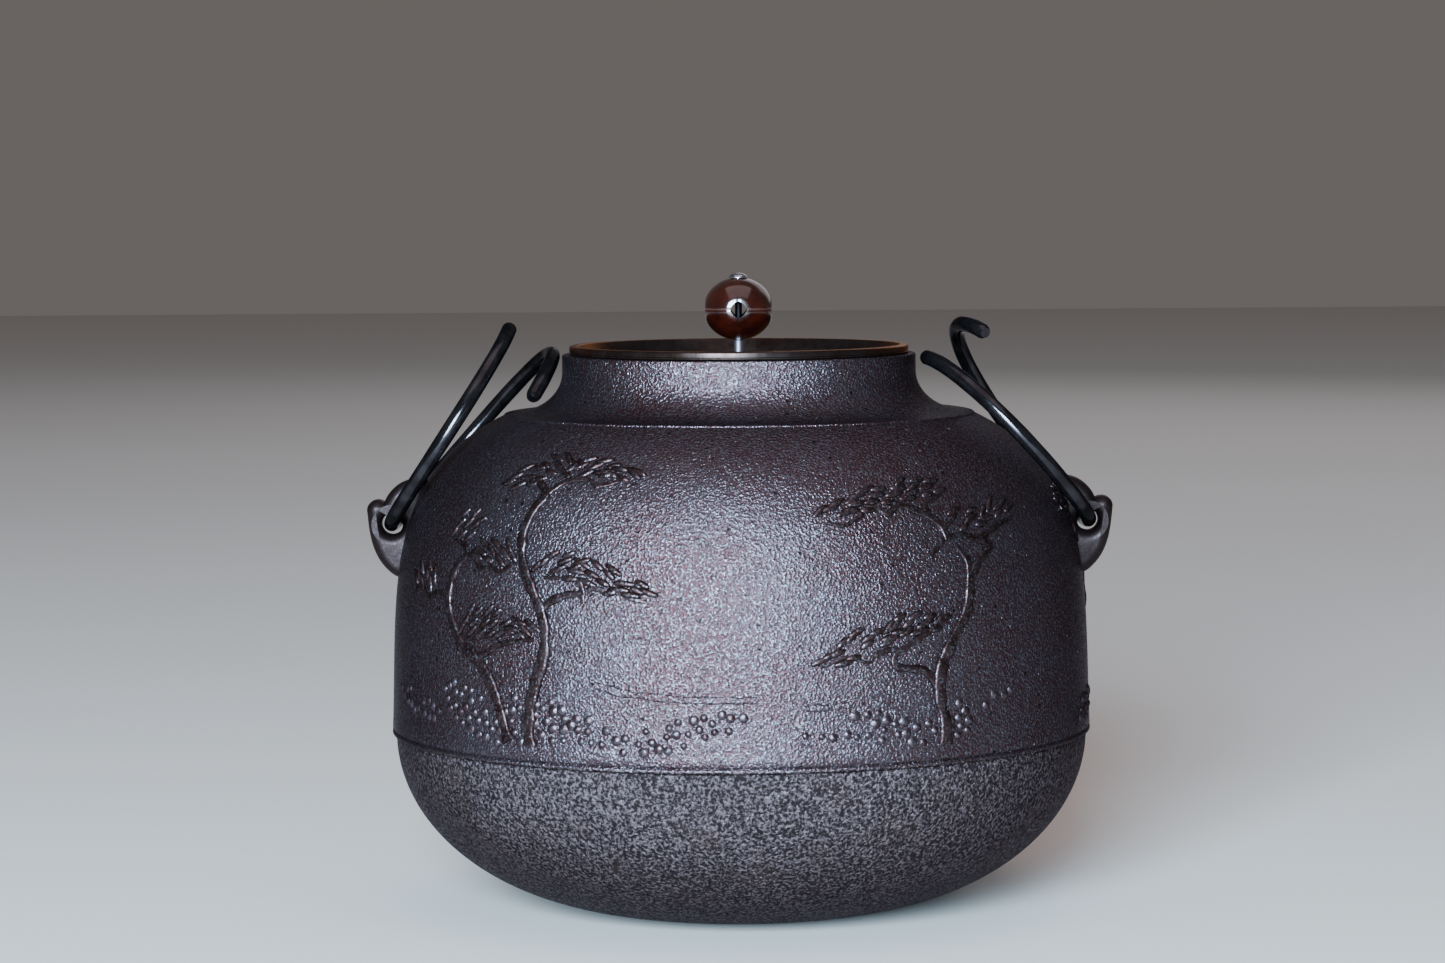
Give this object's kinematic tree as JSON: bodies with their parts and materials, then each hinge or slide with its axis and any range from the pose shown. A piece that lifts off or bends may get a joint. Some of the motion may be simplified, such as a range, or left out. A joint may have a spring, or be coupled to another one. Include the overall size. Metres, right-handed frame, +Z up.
{
  "type": "tea ceremony kettle",
  "caption": "Round cast-iron water kettle with pine trees cast in relief, open iron lifting rings in ears on its shoulder, and a loose dished bronze lid with a hollow ball knob.",
  "frame": {"origin": "centre of the flat foot, on the surface that the kettle stands on", "axes": "+Z up along the kettle's axis, +X through the right ear, +Y to the back"},
  "size_m": [0.2576, 0.2432, 0.2188],
  "materials": {
    "body_iron": "sand-cast iron, dark purple-brown patina with fine grain",
    "ear_iron": "cast iron with a matte red-brown patina",
    "ring_iron": "forged iron, black satin lacquer",
    "plate_iron": "plain dull cast iron",
    "lid_bronze": "turned bronze with a dark satin patina",
    "knob_bronze": "polished bronze with a deep red-brown patina",
    "stud_silver": "turned silver-grey metal"
  },
  "bodies": {
    "kettle": {"kettle_body": "body_iron", "left_lug": "ear_iron", "right_lug": "ear_iron", "singing_plate_1": "plate_iron", "singing_plate_2": "plate_iron", "singing_plate_3": "plate_iron"},
    "lid": {"lid_plate": "lid_bronze", "knob_seat": "knob_bronze", "stud_washer": "stud_silver", "knob_stud": "stud_silver"},
    "knob": {"knob_lower_shell": "knob_bronze", "knob_upper_shell": "knob_bronze"},
    "left_ring": {"left_ring": "ring_iron"},
    "right_ring": {"right_ring": "ring_iron"}
  },
  "joints": [
    {"name": "lid_lift", "type": "slide", "parent": "kettle", "child": "lid", "axis": [0, 0, 1], "range_m": [0, 0.08]},
    {"name": "knob_spin", "type": "hinge", "parent": "lid", "child": "knob", "pos_m": [0, 0, 0.2064], "axis": [0, 0, 1], "continuous": true},
    {"name": "left_ring_swing", "type": "hinge", "parent": "kettle", "child": "left_ring", "pos_m": [-0.1202, 0, 0.1328], "axis": [0, -1, 0], "range_deg": [0, 204]},
    {"name": "right_ring_swing", "type": "hinge", "parent": "kettle", "child": "right_ring", "pos_m": [0.1202, 0, 0.1328], "axis": [0, 1, 0], "range_deg": [0, 204]}
  ]
}
